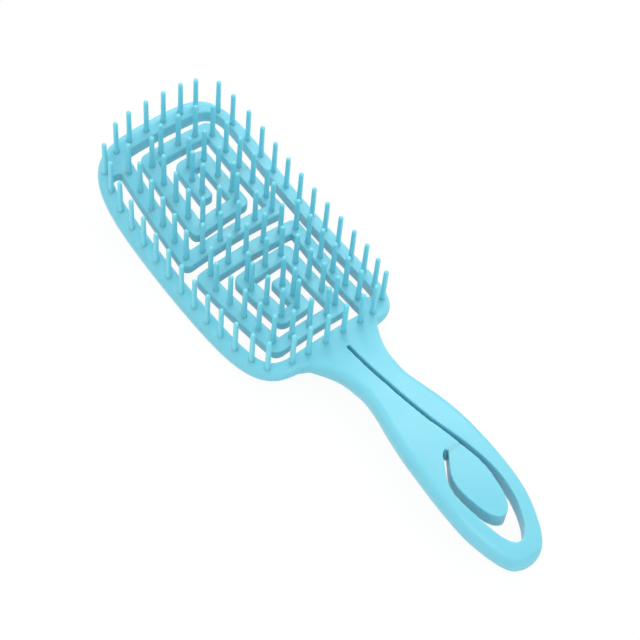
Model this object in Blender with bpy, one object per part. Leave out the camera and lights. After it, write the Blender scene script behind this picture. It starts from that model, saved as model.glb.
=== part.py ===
"""Vent brush: one moulding in sky blue polypropylene.

A rounded rectangular rim frames two flat spiral springs. Each spring is a strip that
leaves the rim at one corner, turns inwards at every corner of its path, and ends in a
core. Pins stand on the rim and on the strips. The handle carries a long slit that opens
round a leaf and ends in a hanging hole.

The shape is laid out in the frame of the mould: s runs along the brush from the middle
of the head towards the handle, t runs across it, and depth goes straight down from the
face that carries the pins, because every wall runs the way the mould opens, as the pins
do. The finished brush lies on its back, on the two side rails of the head
and on the end of the handle.
"""

from math import atan2, cos, hypot, pi, sin, sqrt

import bpy
from mathutils import Matrix, Vector

# Head
HEAD_HALF_LENGTH = 0.0644
HEAD_HALF_WIDTH = 0.0352
OUTLINE_POWER = 5
INNER_OUTLINE_POWER = 8
RIM_SIDE_WIDTH = 0.0066
RIM_END_WIDTH = 0.0072
RIM_THICKNESS = 0.0065
RIM_ROUND = 0.0029
RIM_INNER_EDGE = 0.0005
BOW_LENGTH = 0.0130
HEAD_CURVE_RADIUS = 0.215
CROWN_RADIUS = 0.117

# Spiral springs
STRIP_WIDTH = 0.0062
STRIP_THICKNESS = 0.0052
STRIP_EDGE = 0.0005
STRIP_RECESS = 0.0002
STRIP_INNER_CORNER = 0.0003
STRIP_OUTER_CORNER = 0.0035
ROOT_STUB_LENGTH = 0.0052
ROOT_WEB_WIDTH = 0.0044
HINGE_BEYOND_BEND = 0.0006
CORNER_STEPS = 3

# Pins
PIN_HEIGHT = 0.0190
PIN_BASE_RADIUS = 0.00108
PIN_TIP_RADIUS = 0.00098
PIN_SINK = 0.0012
PIN_SIDES = 8
SIDE_PIN_COUNT = 12
SIDE_PIN_INSET = 0.0033
SIDE_PIN_END_INSET = 0.01666
END_PIN_INSET = 0.0040
END_PIN_PITCH = 0.0083
END_PIN_OUTER = 0.0193

# Handle
NECK_SEAM_DISTANCE = 0.0018
HANDLE_LENGTH = 0.1108
GRIP_HALF_WIDTH = 0.0155
GRIP_THICKNESS = 0.0090
GRIP_ROUND = 0.0032
ROUNDING_SHARE = 0.9
NECK_RAMP_LENGTH = 0.0150
CURVE_CHANGE_DISTANCE = 0.0088
HANDLE_CURVE_RADIUS = 0.150
SLIT_HALF_WIDTH = 0.0006
LEAF_THICKNESS = 0.0084

# Fits
SEAM_GAP = 0.0003
LAND_DEPTH = 0.0003
CUT_OVERRUN = 0.0200

# Fineness of the rim and the largest tilt tried for the rest pose
OUTLINE_STEPS = 240
RAIL_RINGS = 15
BOW_RINGS = 25
TILT_HALVINGS = 40
TILT_LIMIT = pi / 12

# Plan places of the far spring, as shares of half the head's length and width.
SPIRAL_PATH_SHARES = (
    (-0.893, -0.553),
    (-0.081, -0.628),
    (-0.085, 0.612),
    (-0.770, 0.534),
    (-0.767, -0.304),
    (-0.220, -0.321),
    (-0.242, 0.301),
    (-0.620, 0.259),
    (-0.615, -0.011),
    (-0.362, -0.006),
)
# First pin, last pin and count of each row, on the strip that carries it.
SPIRAL_PIN_ROW_SHARES = (
    ("left", (-0.770, -0.566), (-0.101, -0.628), 6),
    ("near", (-0.077, -0.438), (-0.085, 0.537), 5),
    ("right", (-0.193, 0.602), (-0.724, 0.534), 5),
    ("far", (-0.769, 0.349), (-0.767, -0.131), 3),
    ("far", (-0.727, -0.302), (-0.727, -0.302), 1),
    ("inner_left", (-0.592, -0.310), (-0.321, -0.321), 3),
    ("inner_left", (-0.222, -0.250), (-0.222, -0.250), 1),
    ("inner_near", (-0.234, -0.014), (-0.252, 0.258), 2),
    ("inner_right", (-0.330, 0.302), (-0.601, 0.256), 3),
    ("core", (-0.606, 0.054), (-0.606, 0.054), 1),
    ("core", (-0.519, -0.013), (-0.416, -0.006), 2),
)
STRIP_NAMES = ("left", "near", "right", "far", "inner_left", "inner_near", "inner_right", "core")
CORNER_PIN_SHARES = (0.856, 0.784)

# Half width of the handle: place as a share of its length, width as a share of its widest.
NECK_WIDTH_SHARES = ((-0.066, 1.57), (-0.041, 1.44), (-0.030, 1.32), (-0.014, 1.13), (0.000, 1.03))
GRIP_WIDTH_SHARES = (
    (0.000, 1.03),
    (0.055, 0.81),
    (0.110, 0.69),
    (0.165, 0.645),
    (0.225, 0.635),
    (0.300, 0.72),
    (0.390, 0.85),
    (0.490, 0.95),
    (0.590, 0.99),
    (0.660, 1.00),
    (0.740, 0.985),
    (0.810, 0.935),
    (0.870, 0.83),
    (0.925, 0.69),
    (0.957, 0.57),
    (0.978, 0.45),
    (0.991, 0.32),
    (0.998, 0.18),
    (1.000, 0.06),
)
# The long slit: its line down the neck, then the two edges that part round the leaf.
SLIT_LINE_SHARES = (
    (0.015, 0.045),
    (0.080, -0.035),
    (0.150, -0.045),
    (0.220, -0.015),
    (0.300, 0.020),
    (0.380, 0.085),
    (0.440, 0.150),
)
SLIT_LEFT_SHARES = ((0.480, 0.180), (0.520, 0.235), (0.5585, 0.285))
WINDOW_SHARES = (
    (0.480, 0.262),
    (0.515, 0.330),
    (0.565, 0.425),
    (0.630, 0.522),
    (0.680, 0.578),
    (0.725, 0.600),
    (0.770, 0.588),
    (0.812, 0.543),
    (0.848, 0.475),
    (0.878, 0.395),
    (0.903, 0.300),
    (0.922, 0.180),
    (0.931, 0.060),
    (0.931, -0.050),
    (0.923, -0.150),
    (0.905, -0.250),
    (0.878, -0.340),
    (0.840, -0.425),
    (0.794, -0.505),
    (0.739, -0.585),
    (0.700, -0.618),
    (0.670, -0.618),
    (0.640, -0.570),
    (0.612, -0.480),
    (0.588, -0.372),
    (0.566, -0.240),
    (0.553, -0.130),
    (0.554, -0.070),
)
LEAF_SHARES = (
    (0.595, 0.350),
    (0.640, 0.412),
    (0.690, 0.435),
    (0.740, 0.415),
    (0.785, 0.370),
    (0.817, 0.280),
    (0.835, 0.160),
    (0.840, 0.050),
    (0.833, -0.080),
    (0.812, -0.215),
    (0.780, -0.315),
    (0.740, -0.395),
    (0.700, -0.445),
    (0.668, -0.448),
    (0.638, -0.400),
    (0.608, -0.285),
    (0.585, -0.170),
)
LEAF_HINGE_SHARE = 0.5614
LEAF_ROOT_SHARE = -0.062

SKY_BLUE = (0.260, 0.665, 0.810, 1.0)
ROUGHNESS = 0.42
SMOOTH_ANGLE_SHARE = 0.22


def handle_start():
    """Where the handle leaves the neck, a little beyond the end of the head."""
    return HEAD_HALF_LENGTH + NECK_SEAM_DISTANCE


def handle_end():
    return handle_start() + HANDLE_LENGTH


def curve_change():
    """Where the hollow of the head turns into the arch of the handle."""
    return handle_start() + CURVE_CHANGE_DISTANCE


def spine_height(s):
    """Height of the middle line of the face: hollow along the head, arched along the handle."""
    change = curve_change()
    if s <= change:
        return s * s / (2 * HEAD_CURVE_RADIUS)
    beyond = s - change
    start = change * change / (2 * HEAD_CURVE_RADIUS)
    return start + change / HEAD_CURVE_RADIUS * beyond - beyond * beyond / (2 * HANDLE_CURVE_RADIUS)


def face_point(s, t, depth):
    """A point straight under the crowned face."""
    return Vector((s, t, spine_height(s) - t * t / (2 * CROWN_RADIUS) - depth))


def new_mesh(name, points, faces):
    mesh = bpy.data.meshes.new(name)
    mesh.from_pydata([tuple(p) for p in points], [], faces)
    mesh.validate()
    return mesh


def sweep(section, first_edge, second_edge):
    """Rings of a section carried along two plan edges.

    A point of the section has its edge, 0 or 1, the way across from it, and its depth.
    """
    rings = []
    for first, second in zip(first_edge, second_edge):
        across = second - first
        ring = []
        for edge, shift, depth in section:
            spot = first + across * (edge + shift / across.length)
            ring.append(face_point(spot.x, spot.y, depth))
        rings.append(ring)
    return rings


def skin(rings):
    """Points and faces of a closed skin over rings of the same length."""
    size = len(rings[0])
    points = [p for ring in rings for p in ring]
    faces = [tuple(range(size - 1, -1, -1))]
    for row in range(len(rings) - 1):
        base = row * size
        for k in range(size):
            n = (k + 1) % size
            faces.append((base + k, base + n, base + size + n, base + size + k))
    last = (len(rings) - 1) * size
    faces.append(tuple(last + k for k in range(size)))
    return points, faces


def join_shells(shells):
    points = []
    faces = []
    for shell_points, shell_faces in shells:
        start = len(points)
        points.extend(shell_points)
        faces.extend(tuple(start + k for k in face) for face in shell_faces)
    return points, faces


def plastic(name):
    """The polypropylene of one piece."""
    made = bpy.data.materials.new(name + "_polypropylene")
    made.use_nodes = True
    shader = made.node_tree.nodes["Principled BSDF"]
    shader.inputs["Base Color"].default_value = SKY_BLUE
    shader.inputs["Roughness"].default_value = ROUGHNESS
    shader.inputs["Metallic"].default_value = 0
    made.diffuse_color = SKY_BLUE
    return made


def place_object(name, shell, rest, origin):
    """A named solid, its origin on its own hinge where it has one."""
    points, faces = shell
    mesh = new_mesh(name, [p - origin for p in points], faces)
    mesh.materials.append(plastic(name))
    made = bpy.data.objects.new(name, mesh)
    bpy.context.scene.collection.objects.link(made)
    made.parent = rest
    made.location = origin
    mesh.shade_smooth()
    mesh.set_sharp_from_angle(angle=pi * SMOOTH_ANGLE_SHARE)
    return made


def place_cutter(name, shell, rest):
    points, faces = shell
    made = bpy.data.objects.new(name, new_mesh(name, points, faces))
    bpy.context.scene.collection.objects.link(made)
    made.parent = rest
    made.hide_render = True
    made.display_type = "WIRE"
    return made


def add_boolean(target, other, operation):
    step = target.modifiers.new(other.name, "BOOLEAN")
    step.operation = operation
    step.solver = "EXACT"
    step.object = other


# Outlines of the rim

def outline_width(s, half_length, half_width, power):
    """Half width of a rounded rectangle at the place s."""
    share = min(abs(s) / half_length, 1)
    return half_width * (1 - share ** power) ** (1 / power)


def outer_width(s):
    return outline_width(s, HEAD_HALF_LENGTH, HEAD_HALF_WIDTH, OUTLINE_POWER)


def inner_width(s):
    return outline_width(s, inner_half_length(), inner_half_width(), INNER_OUTLINE_POWER)


def inner_half_length():
    return HEAD_HALF_LENGTH - RIM_END_WIDTH


def inner_half_width():
    return HEAD_HALF_WIDTH - RIM_SIDE_WIDTH


def spread_evenly(line, count):
    """Count points at even steps along a line of plan points."""
    lengths = [0]
    for a, b in zip(line, line[1:]):
        lengths.append(lengths[-1] + hypot(b[0] - a[0], b[1] - a[1]))
    result = []
    k = 0
    for step in range(count):
        goal = lengths[-1] * step / (count - 1)
        while k < len(line) - 2 and lengths[k + 1] < goal:
            k += 1
        share = (goal - lengths[k]) / (lengths[k + 1] - lengths[k])
        a = line[k]
        b = line[k + 1]
        result.append((a[0] + (b[0] - a[0]) * share, a[1] + (b[1] - a[1]) * share))
    return result


def end_run(start, half_length, half_width, power):
    """The outline round one end of the head, from the place start and back to it."""
    width = outline_width(start, half_length, half_width, power)
    first = atan2(width / half_width, start / half_length)
    line = [(start, width)]
    for step in range(1, OUTLINE_STEPS):
        angle = first * (1 - 2 * step / OUTLINE_STEPS)
        along = cos(angle)
        across = sin(angle)
        reach = (along ** power + abs(across) ** power) ** (-1 / power)
        line.append((half_length * along * reach, half_width * across * reach))
    line.append((start, -width))
    return spread_evenly(line, BOW_RINGS)


def rim_section():
    """The section of the rim, from its outer edge to its inner one."""
    bevel = RIM_ROUND * (1 - cos(pi / 4))
    low = RIM_THICKNESS
    return (
        (0, 0, RIM_ROUND),
        (0, bevel, bevel),
        (0, RIM_ROUND, 0),
        (1, -RIM_INNER_EDGE, 0),
        (1, 0, RIM_INNER_EDGE),
        (1, 0, low - RIM_INNER_EDGE),
        (1, -RIM_INNER_EDGE, low),
        (0, RIM_ROUND, low),
        (0, bevel, low - bevel),
        (0, 0, low - RIM_ROUND),
    )


def side_rail(side):
    """One side rail of the rim, side being 1 or -1 across the head."""
    reach = HEAD_HALF_LENGTH - BOW_LENGTH - SEAM_GAP / 2
    outer = []
    inner = []
    for step in range(RAIL_RINGS):
        s = reach * (2 * step / (RAIL_RINGS - 1) - 1)
        outer.append(Vector((s, side * outer_width(s))))
        inner.append(Vector((s, side * inner_width(s))))
    rings = sweep(rim_section(), outer, inner)
    if side < 0:
        rings.reverse()
    return skin(rings)


def end_bow(end):
    """The rim round one end of the head, end being 1 at the handle and -1 at the far end."""
    start = HEAD_HALF_LENGTH - BOW_LENGTH + SEAM_GAP / 2
    outer = end_run(start, HEAD_HALF_LENGTH, HEAD_HALF_WIDTH, OUTLINE_POWER)
    inner = end_run(start, inner_half_length(), inner_half_width(), INNER_OUTLINE_POWER)
    outer = [Vector((end * s, end * t)) for s, t in outer]
    inner = [Vector((end * s, end * t)) for s, t in inner]
    return skin(sweep(rim_section(), outer, inner))


# Strips of the springs

def plan(shares, turn):
    """A plan place from shares of the head, turned half round for the near spring."""
    return (turn * shares[0] * HEAD_HALF_LENGTH, turn * shares[1] * HEAD_HALF_WIDTH)


def left_of(along):
    return Vector((-along.y, along.x))


def bend_reach():
    """How far a bend reaches beyond the corner of the path."""
    return STRIP_WIDTH / 2 + STRIP_INNER_CORNER


def strip_course(index, turn):
    """The corners at both ends of a strip, its way, the next strip's way and its hinge."""
    corners = [Vector(plan(shares, turn)) for shares in SPIRAL_PATH_SHARES[index:index + 3]]
    here, there, beyond = corners
    along = (there - here).normalized()
    after = (beyond - there).normalized()
    if index == 0:
        stub = abs(here.x) - inner_half_length() + ROOT_STUB_LENGTH
        hinge = here + along * stub / abs(along.x)
    else:
        hinge = here + along * (bend_reach() + HINGE_BEYOND_BEND)
    return there, beyond, along, after, hinge


def edge_round_corner(corner, along, after, aside, radius, steps):
    """One edge of a strip round a corner of its path, aside being to the left of the path."""
    lefts = (left_of(along), left_of(after))
    tip = corner + (lefts[0] + lefts[1]) * aside / (1 + lefts[0].dot(lefts[1]))
    points = []
    for step in range(steps + 1):
        angle = pi / 2 * step / steps
        points.append(tip - along * radius * (1 - sin(angle)) + after * radius * (1 - cos(angle)))
    return points


def strip_edges(index, turn):
    """The left and right plan edges of one strip and the bend at its end."""
    there, beyond, along, after, hinge = strip_course(index, turn)
    half = STRIP_WIDTH / 2
    first = hinge + along * SEAM_GAP / 2
    if index == len(STRIP_NAMES) - 1:
        last = beyond
    else:
        last = there + after * (bend_reach() + HINGE_BEYOND_BEND - SEAM_GAP / 2)
    inner = edge_round_corner(there, along, after, half, STRIP_INNER_CORNER, CORNER_STEPS + 2)
    outer = edge_round_corner(there, along, after, -half, STRIP_OUTER_CORNER, CORNER_STEPS)
    outer.insert(0, inner[0] - left_of(along) * STRIP_WIDTH)
    outer.append(inner[-1] - left_of(after) * STRIP_WIDTH)
    left = [first + left_of(along) * half] + inner + [last + left_of(after) * half]
    right = [first - left_of(along) * half] + outer + [last - left_of(after) * half]
    return left, right


def fill_edges(left, right):
    """The same edges with places at about every strip's width."""
    filled = ([left[0]], [right[0]])
    for k in range(len(left) - 1):
        parts = max(1, round((right[k + 1] - right[k]).length / STRIP_WIDTH))
        for part in range(1, parts + 1):
            filled[0].append(left[k].lerp(left[k + 1], part / parts))
            filled[1].append(right[k].lerp(right[k + 1], part / parts))
    return filled


def strip_section():
    """The section of a strip, from its left edge to its right one."""
    top = STRIP_RECESS
    low = STRIP_RECESS + STRIP_THICKNESS
    return (
        (0, 0, top + STRIP_EDGE),
        (0, STRIP_EDGE, top),
        (1, -STRIP_EDGE, top),
        (1, 0, top + STRIP_EDGE),
        (1, 0, low - STRIP_EDGE),
        (1, -STRIP_EDGE, low),
        (0, STRIP_EDGE, low),
        (0, 0, low - STRIP_EDGE),
    )


def strip_shell(index, turn):
    left, right = fill_edges(*strip_edges(index, turn))
    return skin(sweep(strip_section(), left, right))


def root_stub(turn):
    """The web in the rim's corner, out of which the first strip grows, up to its hinge."""
    _, _, along, _, hinge = strip_course(0, turn)
    start = Vector(plan(SPIRAL_PATH_SHARES[0], turn)) - along * RIM_INNER_EDGE
    end = hinge - along * SEAM_GAP / 2
    aside = left_of(along) * STRIP_WIDTH / 2
    web = left_of(along) * ROOT_WEB_WIDTH
    return skin(sweep(strip_section(), [start + aside, end + aside], [start - aside, end - aside - web]))


# Pins

def pin_shell(s, t):
    """One tapered pin with a domed tip, its foot sunk in what carries it."""
    foot = face_point(s, t, 0)
    dome = PIN_TIP_RADIUS * cos(pi / 4)
    levels = (
        (-PIN_SINK, PIN_BASE_RADIUS),
        (PIN_HEIGHT - PIN_TIP_RADIUS, PIN_TIP_RADIUS),
        (PIN_HEIGHT - PIN_TIP_RADIUS + dome, dome),
    )
    rings = []
    for height, radius in levels:
        ring = []
        for k in range(PIN_SIDES):
            angle = 2 * pi * k / PIN_SIDES
            ring.append(foot + Vector((radius * cos(angle), radius * sin(angle), height)))
        rings.append(ring)
    return skin(rings)


def side_pins(side):
    places = []
    reach = HEAD_HALF_LENGTH - SIDE_PIN_END_INSET
    length = HEAD_HALF_LENGTH - END_PIN_INSET
    width = HEAD_HALF_WIDTH - SIDE_PIN_INSET
    for k in range(SIDE_PIN_COUNT):
        s = reach * (2 * k / (SIDE_PIN_COUNT - 1) - 1)
        places.append((s, side * outline_width(s, length, width, OUTLINE_POWER)))
    return places


def end_pins(end):
    length = HEAD_HALF_LENGTH - END_PIN_INSET
    width = HEAD_HALF_WIDTH - SIDE_PIN_INSET
    places = []
    for across in (END_PIN_PITCH / 2, END_PIN_PITCH * 3 / 2, END_PIN_OUTER):
        s = end * outline_width(across, width, length, OUTLINE_POWER)
        places.extend([(s, across), (s, -across)])
    corner_s = end * CORNER_PIN_SHARES[0] * HEAD_HALF_LENGTH
    corner_t = CORNER_PIN_SHARES[1] * HEAD_HALF_WIDTH
    places.extend([(corner_s, corner_t), (corner_s, -corner_t)])
    return places


def strip_pins(name, turn):
    places = []
    for strip, first, last, count in SPIRAL_PIN_ROW_SHARES:
        if strip != name:
            continue
        for k in range(count):
            share = k / max(count - 1, 1)
            shares = (first[0] + (last[0] - first[0]) * share, first[1] + (last[1] - first[1]) * share)
            places.append(plan(shares, turn))
    return places


def add_pins(target, places, rest):
    cutter = place_cutter(target.name + "_pins", join_shells([pin_shell(s, t) for s, t in places]), rest)
    add_boolean(target, cutter, "UNION")


# Handle

def handle_place(shares):
    """A plan place on the handle from shares of its length and of its widest half width."""
    return Vector((handle_start() + shares[0] * HANDLE_LENGTH, shares[1] * GRIP_HALF_WIDTH))


def curve_through(points, parts):
    """A smooth line through points, with the same number of parts between each two."""
    result = []
    last = len(points) - 1
    for k in range(last):
        p0 = points[max(k - 1, 0)]
        p1 = points[k]
        p2 = points[k + 1]
        p3 = points[min(k + 2, last)]
        for part in range(parts):
            u = part / parts
            line = p1 + (p2 - p0) * u / 2
            line += (p0 - p1 * 5 / 2 + p2 * 2 - p3 / 2) * u * u
            line += (p1 * 3 - p2 * 3 + p3 - p0) * u * u * u / 2
            result.append(line)
    result.append(points[last].copy())
    return result


def grip_thickness(s):
    """The rim's thickness at the head, swelling to the grip's along the neck."""
    share = min(max((s - handle_start()) / NECK_RAMP_LENGTH + 1 / 2, 0), 1)
    ease = share * share * (3 - 2 * share)
    return RIM_THICKNESS + (GRIP_THICKNESS - RIM_THICKNESS) * ease


def end_rounding(s):
    """How far the handle's faces draw in near its end, where it is rounded off."""
    short = min(max(GRIP_ROUND - (handle_end() - s), 0), GRIP_ROUND)
    return GRIP_ROUND - sqrt(GRIP_ROUND * GRIP_ROUND - short * short)


def grip_ring(s, half_width):
    """The section of the handle at the place s."""
    top = STRIP_RECESS + end_rounding(s)
    low = grip_thickness(s) - end_rounding(s)
    rounding = min(GRIP_ROUND, half_width * ROUNDING_SHARE, (low - top) / 2 * ROUNDING_SHARE)
    bevel = rounding * (1 - cos(pi / 4))
    half = half_width
    right = (
        (half - rounding, top),
        (half - bevel, top + bevel),
        (half, top + rounding),
        (half, low - rounding),
        (half - bevel, low - bevel),
        (half - rounding, low),
    )
    section = [(0, top)] + list(right) + [(0, low)]
    section += [(-t, depth) for t, depth in reversed(right)]
    section.reverse()
    return [face_point(s, t, depth) for t, depth in section]


def grip_shell(width_shares, start_gap, end_gap):
    """The handle's skin over a table of half widths, held back by a gap at either end."""
    points = [handle_place(shares) for shares in width_shares]
    points[0].x += start_gap
    points[-1].x -= end_gap
    return skin([grip_ring(point.x, point.y) for point in points])


def prism(outline, low, high):
    """A straight block over a plan outline."""
    size = len(outline)
    points = [Vector((p.x, p.y, low)) for p in outline] + [Vector((p.x, p.y, high)) for p in outline]
    faces = [tuple(range(size - 1, -1, -1)), tuple(range(size, 2 * size))]
    for k in range(size):
        n = (k + 1) % size
        faces.append((k, n, size + n, size + k))
    return points, faces


def turn_outline(outline):
    """The outline in the order that keeps a block's faces outwards."""
    area = 0
    for a, b in zip(outline, outline[1:] + outline[:1]):
        area += a.x * b.y - b.x * a.y
    return outline if area > 0 else outline[::-1]


def window_outline():
    """The opening of the handle: the long slit, the leaf's window and the hanging hole."""
    line = curve_through([handle_place(shares) for shares in SLIT_LINE_SHARES], 2)
    left = []
    right = []
    for k, place in enumerate(line):
        along = (line[min(k + 1, len(line) - 1)] - line[max(k - 1, 0)]).normalized()
        across = Vector((-along.y, along.x)) * SLIT_HALF_WIDTH
        right.append(place + across)
        left.append(place - across)
    first = (line[1] - line[0]).normalized()
    cap = line[0] - first * SLIT_HALF_WIDTH
    right += curve_through([handle_place(shares) for shares in WINDOW_SHARES], 2)
    left += [handle_place(shares) for shares in SLIT_LEFT_SHARES[:-1]]
    return [cap] + right + leaf_root(-SEAM_GAP / 2) + left[::-1]


def leaf_root(aside):
    """The two ends of the leaf's root, a little aside from the hinge between them."""
    ends = [(LEAF_HINGE_SHARE, LEAF_ROOT_SHARE), (LEAF_HINGE_SHARE, SLIT_LEFT_SHARES[-1][1])]
    return [handle_place(shares) + Vector((aside, 0)) for shares in ends]


def leaf_outline():
    left, right = leaf_root(SEAM_GAP / 2)
    return curve_through([right] + [handle_place(shares) for shares in LEAF_SHARES] + [left], 2)


def leaf_shell():
    outline = turn_outline(leaf_outline())
    rings = []
    low = LEAF_THICKNESS
    for depth in (low, STRIP_RECESS):
        rings.append([face_point(p.x, p.y, depth) for p in outline])
    return skin(rings)


# Rest pose

def rest_matrix(head_points, grip_points):
    """The turn and lift that lay the brush on its back, on the head and the handle's end."""
    low_angle = 0
    high_angle = TILT_LIMIT
    for _ in range(TILT_HALVINGS):
        angle = (low_angle + high_angle) / 2
        turn = Matrix.Rotation(angle, 3, "Y")
        head_low = min((turn @ p).z for p in head_points)
        grip_low = min((turn @ p).z for p in grip_points)
        if grip_low > head_low:
            low_angle = angle
        else:
            high_angle = angle
    turned = [turn @ p for p in head_points + grip_points]
    middle = (min(p.x for p in turned) + max(p.x for p in turned)) / 2
    lift = -min(head_low, grip_low) - LAND_DEPTH
    return Matrix.Translation((-middle, 0, lift)) @ turn.to_4x4()


def floor_block():
    """The block under the brush that cuts its resting lands flat."""
    reach = handle_end() + CUT_OVERRUN
    outline = [Vector(p) for p in ((-reach, -reach), (reach, -reach), (reach, reach), (-reach, reach))]
    return prism(outline, -CUT_OVERRUN, 0)


def build():
    for old in list(bpy.data.objects):
        bpy.data.objects.remove(old, do_unlink=True)

    rails = {"rim_left_rail": side_rail(-1), "rim_right_rail": side_rail(1)}
    bows = {"rim_far_bow": end_bow(-1), "rim_near_bow": end_bow(1)}
    grip = grip_shell(GRIP_WIDTH_SHARES, SEAM_GAP / 2, 0)
    neck = grip_shell(NECK_WIDTH_SHARES, 0, SEAM_GAP / 2)

    middle = Vector((0, 0, 0))
    rest = bpy.data.objects.new("rest_pose", None)
    bpy.context.scene.collection.objects.link(rest)
    head_points = [p for shell in (*rails.values(), *bows.values()) for p in shell[0]]
    rest.matrix_world = rest_matrix(head_points, grip[0])
    floor = place_cutter("floor_cut", floor_block(), None)

    for name, shell in rails.items():
        rail = place_object(name, shell, rest, middle)
        add_pins(rail, side_pins(1 if name == "rim_right_rail" else -1), rest)
        add_boolean(rail, floor, "DIFFERENCE")

    far_bow = place_object("rim_far_bow", bows["rim_far_bow"], rest, middle)
    add_boolean(far_bow, place_cutter("far_root_stub", root_stub(1), rest), "UNION")
    add_pins(far_bow, end_pins(-1), rest)

    near_bow = place_object("rim_near_bow", bows["rim_near_bow"], rest, middle)
    add_boolean(near_bow, place_cutter("near_root_stub", root_stub(-1), rest), "UNION")
    add_boolean(near_bow, place_cutter("neck_root", neck, rest), "UNION")
    add_pins(near_bow, end_pins(1), rest)

    for spring, turn in (("far", 1), ("near", -1)):
        for index, strip in enumerate(STRIP_NAMES):
            hinge = strip_course(index, turn)[-1]
            hinge_point = face_point(hinge.x, hinge.y, STRIP_RECESS + STRIP_THICKNESS / 2)
            bar = place_object(spring + "_spring_" + strip, strip_shell(index, turn), rest, hinge_point)
            add_pins(bar, strip_pins(strip, turn), rest)

    handle = place_object("handle_grip", grip, rest, middle)
    window = prism(turn_outline(window_outline()), -CUT_OVERRUN, CUT_OVERRUN * 2)
    add_boolean(handle, place_cutter("window_cut", window, rest), "DIFFERENCE")
    add_boolean(handle, floor, "DIFFERENCE")

    left, right = leaf_root(0)
    leaf_hinge = face_point(left.x, (left.y + right.y) / 2, LEAF_THICKNESS / 2)
    place_object("handle_leaf", leaf_shell(), rest, leaf_hinge)


build()
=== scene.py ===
"""The looks of a sky blue vent brush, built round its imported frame.

The brush is one injection moulding. Its shape is worked out in the frame of the mould:
s runs along the brush from the middle of the head towards the handle, t runs across it,
and depth goes straight down from the face that carries the pins, because every wall runs
the way the mould opens. One turn and one shift then lay it on its back on the floor.
"""

from math import cos, pi, radians, sin, sqrt

import bmesh
import bpy
from bpy.props import FloatProperty, FloatVectorProperty, PointerProperty
from mathutils import Matrix, Vector


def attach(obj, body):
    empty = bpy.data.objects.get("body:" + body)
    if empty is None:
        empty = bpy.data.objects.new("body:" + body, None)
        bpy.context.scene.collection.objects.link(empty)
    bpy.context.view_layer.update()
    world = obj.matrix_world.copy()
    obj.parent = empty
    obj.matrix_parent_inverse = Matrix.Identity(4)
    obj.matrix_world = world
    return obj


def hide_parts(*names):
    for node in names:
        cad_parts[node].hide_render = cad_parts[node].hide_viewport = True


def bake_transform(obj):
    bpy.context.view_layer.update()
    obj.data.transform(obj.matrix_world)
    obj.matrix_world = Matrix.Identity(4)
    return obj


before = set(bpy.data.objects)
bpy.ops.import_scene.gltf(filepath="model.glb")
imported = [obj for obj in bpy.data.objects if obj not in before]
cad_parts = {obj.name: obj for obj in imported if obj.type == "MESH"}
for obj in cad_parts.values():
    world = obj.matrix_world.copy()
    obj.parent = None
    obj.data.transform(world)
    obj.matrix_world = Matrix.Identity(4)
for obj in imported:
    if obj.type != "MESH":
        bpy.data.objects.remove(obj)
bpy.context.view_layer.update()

bl_info = {
    "name": "Vent brush",
    "version": (1, 0, 0),
    "blender": (4, 5, 0),
    "location": "3D View > Sidebar > Vent brush",
    "description": "Builds a vent brush with sprung spiral strips round its packed frame",
    "category": "Object",
}

MM = 0.001

# How the moulding lies on the floor
REST_TILT = 0.1020639
REST_SHIFT = (-0.0568434, 0, 0.0117143)

# Shape of the rim
OUTLINE_POWER = 5
INNER_OUTLINE_POWER = 8
RIM_ROUND = 2.9 * MM
QUARTER_STEPS = 130
NECK_SEAM_DISTANCE = 1.8 * MM
CURVE_CHANGE_DISTANCE = 8.8 * MM

# Shape of the strips
STRIP_RECESS = 0.12 * MM
STRIP_TOP_EDGE = 0.75 * MM
STRIP_BACK_EDGE = 0.6 * MM
STRIP_INNER_CORNER = 0.3 * MM
STRIP_OUTER_CORNER = 3.5 * MM
STRIP_STEP = 1.0 * MM
BEND_STEPS = 10
CORE_END_ROUND = 1.2 * MM
HINGE_FROM_CORNER = 4.0 * MM
ROOT_HINGE_DISTANCE = 5.2 * MM
ROOT_CUT_DISTANCE = 1.5 * MM
ROOT_SPARE = 2.0 * MM
ROOT_SLOT_ROUND = 1.6 * MM
BLEND_LENGTH = 1.6 * MM
STRIP_SHARP_ANGLE = radians(40)

# Shape of the pins
PIN_SINK = 0.4 * MM
PIN_FLARE_WIDTH = 0.2 * MM
PIN_FLARE_HEIGHT = 0.5 * MM
PIN_FLARE_SHARES = (0, 0.15, 0.35, 0.65, 1)
PIN_TAPER_PARTS = 3
PIN_SHARP_ANGLE = radians(60)
PIN_SIDES = 14
PIN_DOME_STEPS = 5
SIDE_PIN_COUNT = 12
SIDE_PIN_INSET = 3.3 * MM
SIDE_PIN_END_INSET = 16.66 * MM
END_PIN_INSET = 4.0 * MM
END_PIN_PITCH = 8.3 * MM
END_PIN_OUTER = 19.3 * MM

# Shape of the handle
GRIP_ROUND = 3.2 * MM
ROUNDING_SHARE = 0.9
NECK_RAMP_LENGTH = 15.0 * MM
SLIT_HALF_WIDTH = 0.7 * MM
LEAF_ROOT_OVERLAP = 1.5 * MM
LEAF_BLEND_LENGTH = 6.0 * MM
ARC_STEPS = 8
CURVE_PARTS = 6
ACROSS_PARTS = 8
WEB_PARTS = 16
WEB_CORNER_SHARE = 0.89

# Making of the skin
SKIN_VOXEL = 0.35 * MM
SKIN_SMOOTHING = 3
SKIN_SMOOTHING_FACTOR = 0.5
SKIN_SHARP_ANGLE = radians(50)
ROOT_CUT_AHEAD = 4.0 * MM
ROOT_CUT_SIDE_SHARE = 0.75
CUT_REACH = 40 * MM

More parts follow.
